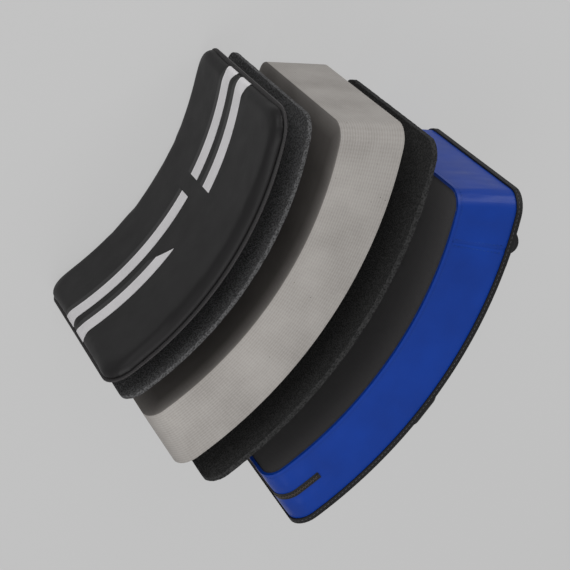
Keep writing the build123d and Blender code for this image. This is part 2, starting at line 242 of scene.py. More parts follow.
def seat_layer(obj, size):
    """Bend a layer and stand it where its CAD node stands."""
    low, high = node_box[size["node"]]
    middle = size["radius"] + size["thick"] / 2
    bend(obj, middle)
    back = high.y
    return shift(obj, y=back - size["thick"] / 2, z=(low.z + high.z) / 2)


MID_R = (HEM_R + COVER_R) / 2   # the cover's flat work is measured on this radius


def wall(name, inset, r_from, r_to, step):
    """Flat work of an open band round the cover's outline, between two radii, facing outward."""
    length = 2 * MID_R * COVER_ANGLE - 2 * inset
    band = plate(name, length, PAD_WIDTH - 2 * inset, CORNER - inset, 4 * MM)
    shift(band, y=r_from - MID_R)
    edit(band, "EDGE")
    steps = max(1, round((r_to - r_from) / step))
    pick(band, "edges", lambda e: e.is_boundary)
    for _ in range(steps):
        bpy.ops.mesh.extrude_edges_move(
            TRANSFORM_OT_translate={"value": (0, (r_to - r_from) / steps, 0)})
    bpy.ops.mesh.select_mode(type="FACE")
    pick(band, "faces", lambda f: abs(f.normal.y) > 0.9)
    bpy.ops.mesh.delete(type="FACE")
    bpy.ops.mesh.select_all(action="SELECT")
    bpy.ops.mesh.normals_make_consistent(inside=False)
    done(band)
    end = max(band.data.polygons, key=lambda f: f.center.x)
    if end.normal.x < 0:
        band.data.flip_normals()
    return band


def cut(obj, point, normal, keep="front"):
    """Cut an open sheet at a plane and keep the side that the normal points to, or the other."""
    edit(obj)
    bpy.ops.mesh.bisect(plane_co=point, plane_no=Vector(normal).normalized(),
                        clear_inner=keep == "front", clear_outer=keep == "back")
    return done(obj)


def score(obj, point, normal):
    edit(obj)
    bpy.ops.mesh.bisect(plane_co=point, plane_no=normal)
    return done(obj)


def ring(name, inset, r_from, r_to, depth, roll):
    """Closed band round the outline, this deep from its outer side inward, with rolled edges."""
    band = wall(name, inset, r_from, r_to, r_to - r_from)
    modify(band, "SOLIDIFY", thickness=depth, offset=-1)
    return soften(band, roll, 3)


def seat_cover(obj):
    """Bend a piece of the cover and stand it in its place."""
    bend(obj, MID_R)
    return shift(obj, y=BACK_Y + MID_R, z=PAD_WIDTH / 2)


def rim_walk(inset, gap):
    """Places every gap along the outline as (x, z, outward x, outward z), from the middle top."""
    half, high = MID_R * COVER_ANGLE - inset, PAD_WIDTH / 2 - inset
    turn = CORNER - inset
    run_x, run_z, arc = 2 * (half - turn), 2 * (high - turn), turn * math.pi / 2
    total = 2 * (run_x + run_z) + 4 * arc
    places = []
    for i in range(round(total / gap)):
        at = (i * total / round(total / gap) + run_x / 2) % total
        for side in range(4):
            run = run_x if side % 2 == 0 else run_z
            facing = math.pi / 2 * (1 - side)
            cx = (half - turn) * (1, 1, -1, -1)[side]
            cz = (high - turn) * (1, -1, -1, 1)[side]
            if at <= run:
                nx, nz = math.cos(facing), math.sin(facing)
                back = run - at
                places.append((cx + nx * turn - nz * back, cz + nz * turn + nx * back, nx, nz))
                break
            at -= run
            if at <= arc:
                facing -= at / turn
                nx, nz = math.cos(facing), math.sin(facing)
                places.append((cx + nx * turn, cz + nz * turn, nx, nz))
                break
            at -= arc
    return places


def repeat(template, name, places):
    """One mesh made of a copy of the template at every matrix; the template goes."""
    mesh = template.data
    corners, faces = [], []
    for matrix in places:
        start = len(corners)
        corners += [matrix @ v.co for v in mesh.vertices]
        faces += [[start + i for i in face.vertices] for face in mesh.polygons]
    made = bpy.data.meshes.new(name)
    made.from_pydata(corners, [], faces)
    obj = bpy.data.objects.new(name, made)
    bpy.context.scene.collection.objects.link(obj)
    bpy.data.objects.remove(template)
    return smooth(obj, 60)


def stitch(length=2.6 * MM, thick=0.6 * MM):
    """One stitch of thread lying along X, half sunk in what it holds."""
    bpy.ops.object.select_all(action="DESELECT")
    bpy.ops.mesh.primitive_uv_sphere_add(segments=8, ring_count=5, radius=0.5,
                                         rotation=(0, math.pi / 2, 0))
    bpy.context.object.scale = (thick, thick, length)
    return fresh("stitch")


def rim_matrix(x, z, nx, nz, y):
    """Frame on the outline: X along it, Y to the back, Z outward."""
    return Matrix(((-nz, 0, nx, x), (0, 1, 0, y), (nx, 0, nz, z), (0, 0, 0, 1)))


def swell(pad, voxel, cap, pressure=4.0):
    """Remesh a pad and let air pressure round it, each point held within cap of its start."""
    low = [min(v.co[i] for v in pad.data.vertices) for i in range(3)]
    high = [max(v.co[i] for v in pad.data.vertices) for i in range(3)]
    only(pad)
    pad.data.remesh_voxel_size = voxel
    bpy.ops.object.voxel_remesh()
    modify(pad, "SMOOTH", factor=0.5, iterations=3)
    start = [v.co.copy() for v in pad.data.vertices]
    cloth = pad.modifiers.new("cloth", "CLOTH")
    cloth.settings.use_pressure = True
    cloth.settings.uniform_pressure_force = pressure
    cloth.settings.effector_weights.gravity = 0
    cloth.settings.tension_stiffness = cloth.settings.compression_stiffness = 25
    cloth.settings.bending_stiffness = 4
    for frame_number in range(1, 21):
        bpy.context.scene.frame_set(frame_number)
    only(pad)
    bpy.ops.object.modifier_apply(modifier="cloth")
    bpy.context.scene.frame_set(1)
    for v, was in zip(pad.data.vertices, start):
        move = v.co - was
        depth = (was.y - low[1]) / (high[1] - low[1])
        move.y *= max(0.0, 1 - depth * 1.2)
        v.co = was + move * min(1.0, cap / max(move.length, 1e-9))
    modify(pad, "SMOOTH", factor=0.5, iterations=2)
    return modify(pad, "SUBSURF", levels=1, render_levels=1)


# ---- materials ----
def linear(hex_colour):
    """sRGB hex to the linear colour that a shader takes."""
    parts = [int(hex_colour[i:i + 2], 16) / 255 for i in (1, 3, 5)]
    return tuple(c / 12.92 if c <= 0.04045 else ((c + 0.055) / 1.055) ** 2.4 for c in parts) + (1.0,)


def add(tree, kind, inputs, out=0, **settings):
    """Add one node, set its properties, link or set its inputs and give back one of its outputs."""
    made = tree.nodes.new("ShaderNode" + kind)
    for key, value in settings.items():
        setattr(made, key, value)
    for key, value in inputs.items():
        if isinstance(value, bpy.types.NodeSocket):
            tree.links.new(value, made.inputs[key])
        else:
            made.inputs[key].default_value = value
    return made.outputs[out]


def begin(name):
    material = bpy.data.materials.new(name)
    material.use_nodes = True
    tree = material.node_tree
    tree.nodes.clear()
    return material, tree, add(tree, "TexCoord", {}, out="Object")


def shade(material, tree, **inputs):
    """Close a material with one Principled shader."""
    named = {key.replace("_", " "): value for key, value in inputs.items()}
    shader = add(tree, "BsdfPrincipled", named)
    output = tree.nodes.new("ShaderNodeOutputMaterial")
    tree.links.new(shader, output.inputs["Surface"])
    return material


def math_node(tree, operation, a, b=0.0, c=0.0, clamp=False):
    return add(tree, "Math", {0: a, 1: b, 2: c}, operation=operation, use_clamp=clamp)


def cells(tree, place, size, **inputs):
    """Voronoi cells of about this size in metres."""
    return add(tree, "TexVoronoi", {"Vector": place, "Scale": 1 / size, **inputs})


def cloudy(tree, place, size, detail=3.0, roughness=0.5):
    return add(tree, "TexNoise", {
        "Vector": place, "Scale": 1 / size, "Detail": detail, "Roughness": roughness})


def ramp(tree, value, stops):
    """Colour ramp through (place, sRGB hex) stops."""
    made = tree.nodes.new("ShaderNodeValToRGB")
    tree.links.new(value, made.inputs["Fac"])
    elements = made.color_ramp.elements
    while len(elements) < len(stops):
        elements.new(0.5)
    for element, (at, colour) in zip(elements, stops):
        element.position = at
        element.color = linear(colour)
    return made.outputs["Color"]


def rough_range(tree, value, low, high):
    return add(tree, "MapRange", {"Value": value, "To Min": low, "To Max": high})


def bumped(tree, height, depth, strength=1.0, under=None):
    """Bump of a real depth in metres, over another bump if there is one."""
    inputs = {"Height": height, "Distance": depth, "Strength": strength}
    if under is not None:
        inputs["Normal"] = under
    return add(tree, "Bump", inputs)


def leather(name, colour, deep, roughness, grain=1.4 * MM, relief=0.10 * MM):
    """Coated leather: pebbled skin in small cells, low sheen that changes with handling."""
    material, tree, at = begin(name)
    pebble = cells(tree, at, grain, Randomness=0.9)
    cloud = cloudy(tree, at, 45 * MM)
    tone = add(tree, "Mix", {0: cloud, 6: linear(deep), 7: linear(colour)}, out=2, data_type="RGBA")
    handled = cloudy(tree, at, 22 * MM, detail=5)
    shine = rough_range(tree, handled, roughness - 0.09, roughness + 0.09)
    skin = bumped(tree, pebble, relief, 0.5)
    soft = bumped(tree, cloudy(tree, at, 16 * MM, 2), 0.5 * MM, 0.25, skin)
    return shade(material, tree, Base_Color=tone, Roughness=shine, IOR=1.5,
                 Specular_IOR_Level=0.22, Normal=soft)


def nylon(name, colour, deep, roughness):
    """Moulded teeth and spun thread: the same skin with its cells pressed nearly flat."""
    return leather(name, colour, deep, roughness, 1.0 * MM, 0.02 * MM)


def open_foam(name, dark, light, cell=1.7 * MM):
    """Open-cell foam: pits between pale cell walls, the pits darkened with painted shade; drawn about twice
    its real size to show.
    """
    material, tree, at = begin(name)
    pits = cells(tree, at, cell, Randomness=1.0)
    patchy = cloudy(tree, at, 5 * MM, 4)
    depth = math_node(tree, "ADD", math_node(tree, "MULTIPLY", pits, 1.1),
                      math_node(tree, "MULTIPLY", patchy, 0.35))
    # painted shade: the pits are coloured darker than the cell walls, as their shadow
    tone = ramp(tree, depth, [(0.25, dark), (1.0, light)])
    rough = bumped(tree, depth, 0.9 * MM, 0.9)
    return shade(material, tree, Base_Color=tone, Roughness=0.95, Specular_IOR_Level=0.2, Normal=rough)


def weave(name, warp, shadow, pitch, relief, roughness=0.8, mapped=True, sheen=0.15):
    """Woven webbing or cloth: threads cross over and under at this pitch along the piece's own UV."""
    material, tree, at = begin(name)
    if mapped:
        at = add(tree, "UVMap", {}, uv_map="flat")
    split = tree.nodes.new("ShaderNodeSeparateXYZ")
    tree.links.new(at, split.inputs[0])
    turn = 2 * math.pi / pitch
    along = math_node(tree, "SINE", math_node(tree, "MULTIPLY", split.outputs["X"], turn))
    last = split.outputs["Y"] if mapped else split.outputs["Z"]
    across = math_node(tree, "SINE", math_node(tree, "MULTIPLY", last, turn))
    cross = math_node(tree, "MULTIPLY", along, across)
    height = rough_range(tree, math_node(tree, "MULTIPLY_ADD", cross, 0.5, 0.5), 0.0, 1.0)
    fuzz = cloudy(tree, at, 6 * MM, 4)
    tone_at = math_node(tree, "MULTIPLY_ADD", height, 0.7, math_node(tree, "MULTIPLY", fuzz, 0.3))
    tone = ramp(tree, tone_at, [(0.1, shadow), (0.8, warp)])
    bump = bumped(tree, height, relief, 0.8)
    return shade(material, tree, Base_Color=tone, Roughness=roughness, Sheen_Weight=sheen,
                 Specular_IOR_Level=0.25, Normal=bump)


def core_foam():
    """Laminated closed-cell foam: thin sheets follow the curve and show as fine lines on cut
    sides; the front face carries painted shade, dark in the middle and lighter towards its edges."""
    material, tree, at = begin("laminated_closed_cell_foam")
    centre_y = node_box["core_block"][1].y - CORE["radius"] - CORE["thick"]
    split = tree.nodes.new("ShaderNodeSeparateXYZ")
    tree.links.new(at, split.inputs[0])
    x, y, z = split.outputs
    back = math_node(tree, "SUBTRACT", y, centre_y)
    reach = math_node(tree, "SQRT", math_node(
        tree, "ADD", math_node(tree, "POWER", x, 2), math_node(tree, "POWER", back, 2)))
    depth = math_node(tree, "SUBTRACT", reach, CORE["radius"])
    wobble = math_node(tree, "MULTIPLY", cloudy(tree, at, 30 * MM), 0.5 * MM)
    # sheets of 2.6 mm, twice a real one, so that the lines still show
    lines = math_node(tree, "SINE", math_node(
        tree, "MULTIPLY", math_node(tree, "ADD", depth, wobble), 2 * math.pi / (2.6 * MM)))
    angle = math_node(tree, "ARCTAN2", x, back)
    hatch = math_node(tree, "SINE", math_node(tree, "MULTIPLY", angle, 2 * math.pi * 352 / 3.4))
    fine = cloudy(tree, at, 1.3 * MM, 4)
    mottle = cloudy(tree, at, 38 * MM, 4)
    tone_at = math_node(tree, "MULTIPLY_ADD", lines, 0.07, math_node(
        tree, "MULTIPLY_ADD", hatch, 0.025, math_node(
            tree, "MULTIPLY_ADD", fine, 0.25, math_node(tree, "MULTIPLY", mottle, 0.5))))
    cut = ramp(tree, tone_at, [(0.1, "#86827e"), (0.42, "#9f9b97"), (0.8, "#b3afab")])
    specks = cells(tree, at, 13 * MM, Randomness=1.0)
    spotted = add(tree, "Mix", {
        0: math_node(tree, "LESS_THAN", specks, 0.035), 6: cut, 7: linear("#5a554f")},
        out=2, data_type="RGBA")
    # how far a point on the front is from the slab's edges, for the painted shade that lightens towards them
    low, high = node_box["core_block"]
    half_z = (high.z - low.z) / 2
    in_z = math_node(tree, "SUBTRACT", half_z, math_node(
        tree, "ABSOLUTE", math_node(tree, "SUBTRACT", z, half_z)))
    in_x = math_node(tree, "MULTIPLY", math_node(
        tree, "SUBTRACT", math.radians(CORE["angle"]), math_node(tree, "ABSOLUTE", angle)),
        CORE["radius"])
    edge = math_node(tree, "MINIMUM", in_z, in_x)
    # painted shade on the front face: dark in the middle, lighter within 20 mm of its edges
    painted_shade_falloff = add(tree, "MapRange", {
        "Value": edge, "From Min": 1 * MM, "From Max": 20 * MM, "To Min": 0.6, "To Max": 1.0})
    on_front = math_node(tree, "LESS_THAN", depth, 0.55 * MM)
    front_painted_shade = math_node(tree, "MULTIPLY", on_front, painted_shade_falloff)
    painted_shade_tone = ramp(tree, math_node(tree, "ADD", mottle, math_node(tree, "MULTIPLY", fine, 0.2)),
                     [(0.3, "#4d4946"), (0.9, "#5e5a57")])
    tone = add(tree, "Mix", {0: front_painted_shade, 6: spotted, 7: painted_shade_tone}, out=2, data_type="RGBA")
    relief = bumped(tree, math_node(tree, "MULTIPLY_ADD", lines, 0.5, fine), 0.12 * MM, 0.5)
    return shade(material, tree, Base_Color=tone, Roughness=0.86, Specular_IOR_Level=0.3,
                 Normal=relief)


def printed_stripe():
    """Pale coated strip: twill pressed into it on the diagonal, a paler line of painted highlight by each
    dark edge.
    """
    material, tree, _ = begin("pale_twill_pressed_pu")
    at = add(tree, "UVMap", {}, uv_map="flat")
    split = tree.nodes.new("ShaderNodeSeparateXYZ")
    tree.links.new(at, split.inputs[0])
    slant = math_node(tree, "ADD", split.outputs["X"], split.outputs["Y"])
    # twill ribs of 2.4 mm, coarser than the real 1 mm, so that they show
    ribs = math_node(tree, "SINE", math_node(tree, "MULTIPLY", slant, 2 * math.pi / (2.4 * MM)))
    soil = cloudy(tree, at, 30 * MM)
    tone_at = math_node(tree, "MULTIPLY_ADD", ribs, 0.22, soil)
    body = ramp(tree, tone_at, [(0.2, "#d6d4d6"), (0.8, "#e4e2e4")])
    off = math_node(tree, "ABSOLUTE", split.outputs["Y"])
    # painted highlight: a paler line just inside each dark edge; the dark edge itself is the seam
    pale = add(tree, "Mix", {0: math_node(tree, "GREATER_THAN", off, 10.9 * MM), 6: body,
                             7: linear("#efedef")}, out=2, data_type="RGBA")
    tone = add(tree, "Mix", {0: math_node(tree, "GREATER_THAN", off, 11.75 * MM), 6: pale,
                             7: linear("#141314")}, out=2, data_type="RGBA")
    relief = bumped(tree, ribs, 0.06 * MM, 0.5)
    return shade(material, tree, Base_Color=tone, Roughness=0.5, IOR=1.5, Normal=relief)


def bristles(name, dark, light):
    """Hook and loop: a dense pile of tiny nylon hooks, drawn at 1 mm so that it shows."""
    material, tree, at = begin(name)
    pile = cells(tree, at, 1.0 * MM, Randomness=0.6)
    tone = ramp(tree, pile, [(0.15, light), (0.75, dark)])
    return shade(material, tree, Base_Color=tone, Roughness=0.75, Sheen_Weight=0.3,
                 Normal=bumped(tree, pile, 0.5 * MM, 0.9))


def metal(name, colour, roughness):
    """Plated wire or casting: tight reflections with faint handling marks."""
    material, tree, at = begin(name)
    wear = cloudy(tree, at, 4 * MM, 6)
    shine = rough_range(tree, wear, roughness - 0.06, roughness + 0.1)
    return shade(material, tree, Base_Color=linear(colour), Metallic=1.0, Roughness=shine,
                 Normal=bumped(tree, wear, 0.05 * MM, 0.2))


# calendered with a matt roll: near black, a broad dull shine along the rolled edge
STRIKE_LEATHER = leather("matt_black_pu_leather", "#191819", "#141314", 0.5)
# the same coat with a satin roll: deep blue that greys where light grazes it
BLUE_LEATHER = leather("blue_pu_leather", "#063a9a", "#052c7a", 0.42, 1.6 * MM)
# black satin coat on the hidden side
BACK_LEATHER = leather("black_pu_leather", "#232224", "#1b1a1c", 0.46, 1.6 * MM)
# split from a block, so its faces are pits that hold shadow
BLACK_FOAM = open_foam("black_open_cell_foam", "#0b0b0b", "#353535")
GREY_FOAM = open_foam("charcoal_open_cell_foam", "#1c1c1c", "#5c5c5d")
BASE_FOAM = open_foam("dark_base_foam", "#121212", "#2f2f2f", 2.2 * MM)
# sawn from glued sheets: pale grey sides, front darkened with painted shade
CORE_FOAM = core_foam()
# film pressed on hot: pale, almost without shine
STRIPE = printed_stripe()
# knitted lining: flat dark cloth
LINING = weave("dark_lining_cloth", "#3a3839", "#252324", 2.2 * MM, 0.12 * MM, 0.9, mapped=False)
# woven straps: ribs of thick yarn with a little fuzz
WEBBING = weave("black_nylon_webbing", "#3a393c", "#111112", 2.4 * MM, 0.35 * MM, 0.62)
BINDING = weave("black_binding_tape", "#161617", "#070708", 2.0 * MM, 0.2 * MM, 0.6, False, 0.0)
ZIP_CLOTH = weave("black_zip_tape", "#1a191a", "#0c0c0c", 1.6 * MM, 0.15 * MM, 0.8, mapped=False)
# moulded nylon and bonded thread: small dull highlights
ZIP_TEETH = nylon("brown_grey_nylon_teeth", "#4a423c", "#3a332e", 0.45)
# hook side darker and coarser, loop side paler and softer
HOOK = bristles("nylon_hook_pile", "#0b0b0b", "#2e2e2e")
LOOP = bristles("nylon_loop_pile", "#141415", "#3a393b")
# nickel-plated wire and a blackened casting
STEEL = metal("bright_plated_steel_wire", "#c2c3c5", 0.24)
DARK_METAL = metal("black_nickel_zinc_casting", "#3a3a3d", 0.32)
BLACK_THREAD = nylon("charcoal_polyester_thread", "#5c5b5e", "#403f41", 0.6)
BLUE_THREAD = nylon("navy_polyester_thread", "#1c4a9c", "#0b2f70", 0.6)


# ---- strike panel ----
BACKING_T = 1.2 * MM
SWELL_ROOM = 1.6 * MM            # the pad starts this much smaller, because pressure grows it
STRIKE_ROLL = 8 * MM
STRIPE_T = 0.4 * MM
STRIPE_END_Y = 3.4 * MM          # a stripe runs down the pad's end as far as this
pad_front = SWELL_ROOM - STRIKE["thick"] / 2
strike_pad = layer_slab("strike_pad", STRIKE, SWELL_ROOM, pad_front,
                        STRIKE["thick"] - SWELL_ROOM - BACKING_T, 0, 6 * MM)
round_rim(strike_pad, pad_front, STRIKE_ROLL - SWELL_ROOM, 5)
swell(strike_pad, 3 * MM, 2.4 * MM)
strike_half = (node_box["strike_cover"][1].z - node_box["strike_cover"][0].z) / 2
for vertex in strike_pad.data.vertices:      # it stands on its lower edge
    vertex.co.z = max(-strike_half, min(strike_half, vertex.co.z))


def cut_stripe(name, node, low, high, start=None, stop=None, slant=0.0):
    """Thin strip lifted off the pad's own face between two heights above the pad's lower edge."""
    strip = copy_of(strike_pad, name)
    cut(strip, (0, 0, low - strike_half), (0, 0, 1))
    cut(strip, (0, 0, high - strike_half), (0, 0, 1), "back")
    if start is not None:
        cut(strip, (start, 0, high - strike_half), (high - low, 0, slant))
    if stop is not None:
        cut(strip, (stop, 0, 0), (1, 0, 0), "back")
    edit(strip, "FACE")
    pick(strip, "faces", lambda f: f.normal.y > 0.3 or f.calc_center_median().y > STRIPE_END_Y)
    bpy.ops.mesh.delete(type="FACE")
    done(strip)
    modify(strip, "SOLIDIFY", thickness=STRIPE_T, offset=1)
    flat_map(strip)
    middle = (low + high) / 2 - strike_half
    for loop in strip.data.uv_layers["flat"].data:
        loop.uv.y -= middle
    smooth(strip, 50)
    seat_layer(strip, STRIKE)
    return place(strip, "strike_panel", STRIPE, (node,), "stripe_leather")


LOW, HIGH = (72 * MM, 96 * MM), (106 * MM, 130 * MM)
cut_stripe("grip_end_stripe_low", "stripe_grip_low", *LOW, stop=-38 * MM)
cut_stripe("grip_end_stripe_high", "stripe_grip_high", *HIGH, stop=-38 * MM)
cut_stripe("zip_end_stripe_low", "stripe_zip_low", *LOW, start=-20 * MM)
cut_stripe("zip_end_stripe_high", "stripe_zip_high", *HIGH, start=24 * MM, slant=27 * MM)

seat_layer(smooth(strike_pad, 60), STRIKE)
place(strike_pad, "strike_panel", STRIKE_LEATHER, ("strike_cover", "strike_padding"), "black_leather")

SKIN_SEED = 7                # vector noise differs from run to run until it is seeded


def roughen(obj, amount, size):
    """Torn, uneven skin: every point moves a little, none of them below or past its slab."""
    noise.seed_set(SKIN_SEED)
    tops = [max(abs(v.co[i]) for v in obj.data.vertices) for i in range(3)]
    for v in obj.data.vertices:
        move = noise.noise_vector(v.co / size) * amount
        v.co = Vector([max(-t, min(t, a)) for a, t in zip(v.co + move, tops)])
    return obj


backing = layer_slab("strike_backing_cloth", STRIKE, SWELL_ROOM,
                     STRIKE["thick"] / 2 - BACKING_T, BACKING_T, 0, 6 * MM)
seat_layer(backing, STRIKE)
place(backing, "strike_panel", LINING, ("strike_backing",), "lining_cloth")

# ---- foam layers and core ----
front = layer_slab("front_foam_sheet", FRONT, 0, -FRONT["thick"] / 2, FRONT["thick"], 0.7 * MM, 3 * MM)
seat_layer(smooth(roughen(front, 0.35 * MM, 2.2 * MM), 60), FRONT)
place(front, "front_foam", GREY_FOAM, ("front_foam",), "grey_foam")

core = layer_slab("laminated_core", CORE, 0, -CORE["thick"] / 2, CORE["thick"], 0.8 * MM, 5 * MM)
seat_layer(smooth(core, 40), CORE)
place(core, "core", CORE_FOAM, ("core_block",), "grey_foam")

rear = layer_slab("rear_foam_sheet", REAR, 0, -REAR["thick"] / 2, REAR["thick"], 0.8 * MM, 3 * MM)
seat_layer(smooth(roughen(rear, 0.4 * MM, 2.4 * MM), 60), REAR)
place(rear, "rear_foam", BLACK_FOAM, ("rear_foam",), "black_foam")

# ---- cover ----
half_x, half_z = MID_R * COVER_ANGLE, PAD_WIDTH / 2
seam_x, zip_x = MID_R * SEAM_ANGLE, MID_R * ZIP_START
zip_y = ZIP_R - MID_R

panel = wall("cover_wall", TRIM_PROUD, HEM_R, COVER_R, 3.6 * MM)
for offset in (-3, -1.2, 1.2, 3):
    score(panel, (seam_x + offset * MM, 0, 0), (1, 0, 0))
moves = []
for v in panel.data.vertices:
    across = (v.co.y - (HEM_R - MID_R)) / (COVER_R - HEM_R)
    crown = 4 * across * (1 - across)
    near_zip = v.co.x > zip_x - 8 * MM and abs(v.co.y - zip_y) < 9 * MM
    corner = Vector((max(0, half_x - 34 * MM - abs(v.co.x)), 0, max(0, half_z - 34 * MM - abs(v.co.z))))
    pull = math.exp(-(corner.length / (26 * MM)) ** 2)
    run = (v.co.x if abs(v.co.z) > half_z - 8 * MM else v.co.z) / (9 * MM)
    pucker = noise.noise((run, v.co.y / (48 * MM), 3.0)) * (0.25 + 1.0 * pull) * MM
    groove = 0.9 * MM * math.exp(-((v.co.x - seam_x) / (1.4 * MM)) ** 2)
    lift = 0.0 if near_zip else crown * (0.7 * MM + pucker)
    moves.append(v.normal * (lift - groove))
for v, move in zip(panel.data.vertices, moves):
    v.co += move
end_panel = cut(copy_of(panel, "cover_end_panel"), (seam_x - 0.05 * MM, 0, 0), (1, 0, 0), "back")
side_panel = cut(panel, (seam_x + 0.05 * MM, 0, 0), (1, 0, 0))
side_panel.name = side_panel.data.name = "cover_side_panel"
for piece, node in ((side_panel, "side_panel"), (end_panel, "end_panel")):
    modify(piece, "SOLIDIFY", thickness=WALL - 0.2 * MM, offset=-1)
    seat_cover(smooth(piece, 50))
    place(piece, "cover", BLUE_LEATHER, (node,), "blue_leather")

hem = seat_cover(smooth(ring("folded_front_hem", 0.2 * MM, RIM_R, HEM_R, 3.4 * MM, 1.2 * MM), 60))
place(hem, "cover", BLUE_LEATHER, ("front_hem",), "blue_leather")
binding = seat_cover(smooth(ring("back_binding_tape", 0, COVER_R, BINDING_R, 3.6 * MM, 1.7 * MM), 60))
place(binding, "cover", BINDING, ("back_binding",), "black_webbing")


def cover_plate(name, r_from, r_to, roll):
    inset = TRIM_PROUD + WALL
    sheet = thicken(plate(name, 2 * MID_R * COVER_ANGLE - 2 * inset, PAD_WIDTH - 2 * inset,
                          CORNER - inset, 6 * MM), r_to - r_from)
    shift(sheet, y=r_from - MID_R)
    return seat_cover(smooth(soften(sheet, roll), 60)) if roll else seat_cover(sheet)


lining = cover_plate("front_lining_cloth", RIM_R + 0.6 * MM, RIM_R + 2 * MM, 0.5 * MM)
place(lining, "cover", LINING, ("front_lining",), "lining_cloth")
base = cover_plate("base_foam_block", RIM_R + 2 * MM, 427.5 * MM, 0)
place(base, "cover", BASE_FOAM, ("base_block",), "dark_foam")
back = cover_plate("back_panel_leather", 427.5 * MM, PANEL_R, 0.9 * MM)
place(back, "cover", BACK_LEATHER, ("back_panel",), "black_leather")


STITCH_GAP = 4 * MM


def rim_stitches(name, inset, y, gap, material, slot):
    rows = [rim_matrix(*spot, y) for spot in rim_walk(inset, gap)]
    thread = seat_cover(repeat(stitch(), name, rows))
    return place(thread, "cover", material, (), slot)


rim_stitches("hem_thread", TRIM_PROUD, HEM_R - MID_R + 2.6 * MM, STITCH_GAP, BLUE_THREAD, "blue_leather")
rim_stitches("binding_thread", 0, COVER_R - MID_R + 2.2 * MM, STITCH_GAP, BLACK_THREAD, "black_webbing")
rim_stitches("binding_back_thread", 2 * MM, BINDING_R - MID_R, STITCH_GAP, BLACK_THREAD, "black_webbing")
seam_rows = []
for side_x in (-3.4, 3.4):
    for end_z in (-1, 1):
        for i in range(13):
            y = HEM_R - MID_R + 5 * MM + i * STITCH_GAP
            seam_rows.append(Matrix.Translation((
                seam_x + side_x * MM, y, end_z * (half_z - TRIM_PROUD + 0.6 * MM)))
                @ Matrix.Rotation(math.pi / 2, 4, "Z"))
seam_thread = seat_cover(repeat(stitch(), "seam_thread", seam_rows))
place(seam_thread, "cover", BLUE_THREAD, (), "blue_leather")

# ---- zip ----
TAPE_HALF, TAPE_INSET, TAPE_T = 3.5 * MM, 0.8 * MM, 0.75 * MM
TOOTH = (1.15 * MM, 2.3 * MM, 0.7 * MM)      # along the zip, across it, out of it
TOOTH_PITCH, TOOTH_INSET, TOOTH_STAGGER, FIRST_TOOTH = 1.6 * MM, 0.5 * MM, 0.4 * MM, 3 * MM
tape = wall("zip_tape_cloth", TAPE_INSET, ZIP_R - TAPE_HALF, ZIP_R + TAPE_HALF, TAPE_HALF)
cut(tape, (zip_x, 0, 0), (1, 0, 0))
modify(tape, "SOLIDIFY", thickness=TAPE_T, offset=-1)
place(seat_cover(tape), "cover", ZIP_CLOTH, ("zip_tape",), "zip_cloth")
bpy.ops.object.select_all(action="DESELECT")
bpy.ops.mesh.primitive_cube_add(size=1)
bpy.context.object.scale = TOOTH
tooth = soften(fresh("tooth"), 0.2 * MM, 1)
teeth_at = []
for i, spot in enumerate(rim_walk(TOOTH_INSET, TOOTH_PITCH)):
    if spot[0] > zip_x + FIRST_TOOTH:
        teeth_at.append(rim_matrix(*spot, zip_y + (TOOTH_STAGGER if i % 2 else -TOOTH_STAGGER)))
teeth = seat_cover(repeat(tooth, "zip_teeth_row", teeth_at))
place(teeth, "cover", ZIP_TEETH, ("zip_coil",), "zip_teeth")

# ---- furniture on the back, drawn as lines of (along z, out v) ----
PATCH_T, PATCH_LENGTH, MARGIN, BEND_R = 3 * MM, 32 * MM, 4 * MM, 10 * MM
STRAP_W, STRAP_T = 38 * MM, 2.4 * MM
STRAPS = {"elbow": 14.1, "wrist": -2.4}
RING_PITCH, WRAP_R = 14 * MM, 3.2 * MM


class Arch:
    """Line of an arched strap: flat foot, bend, and one arc over the middle of the pad."""

    def __init__(self, slope, thick):
        turn = math.radians(slope)
        self.slope, self.foot_z, self.foot_v = slope, MARGIN + 20 * MM, PATCH_T + thick / 2
        start = self.foot_z + BEND_R * math.sin(turn)
        self.radius = (PAD_WIDTH / 2 - start) / math.sin(turn)
        self.centre_v = self.foot_v + BEND_R - (BEND_R + self.radius) * math.cos(turn)

    def at(self, angle, along=0.0, offset=0.0):
        turn = math.radians(angle)
        out = self.radius + offset
        return (PAD_WIDTH / 2 + out * math.sin(turn) + along * math.cos(turn),
                self.centre_v + out * math.cos(turn) - along * math.sin(turn))

    def arc(self, start, stop, offset=0.0, count=60):
        return [self.at(start + (stop - start) * i / count, 0, offset) for i in range(count + 1)]

    def foot(self, turned=1.0):
        line = [(MARGIN + 3 * MM + i * 4 * MM, self.foot_v) for i in range(5)]
        for i in range(1, 9):
            turn = math.radians(self.slope) * turned * i / 8
            line.append((self.foot_z + BEND_R * math.sin(turn),
                         self.foot_v + BEND_R * (1 - math.cos(turn))))
        return line

    def wrap(self, angle, lead):
        """Lead-in points as (along, offset) in mm, then most of a turn round a bar."""
        line = [self.at(angle, a * MM, o * MM) for a, o in lead]
        for i in range(25):
            turn = math.radians(115 - 255 * i / 24)
            line.append(self.at(angle, WRAP_R * math.cos(turn), WRAP_R * math.sin(turn)))
        return line


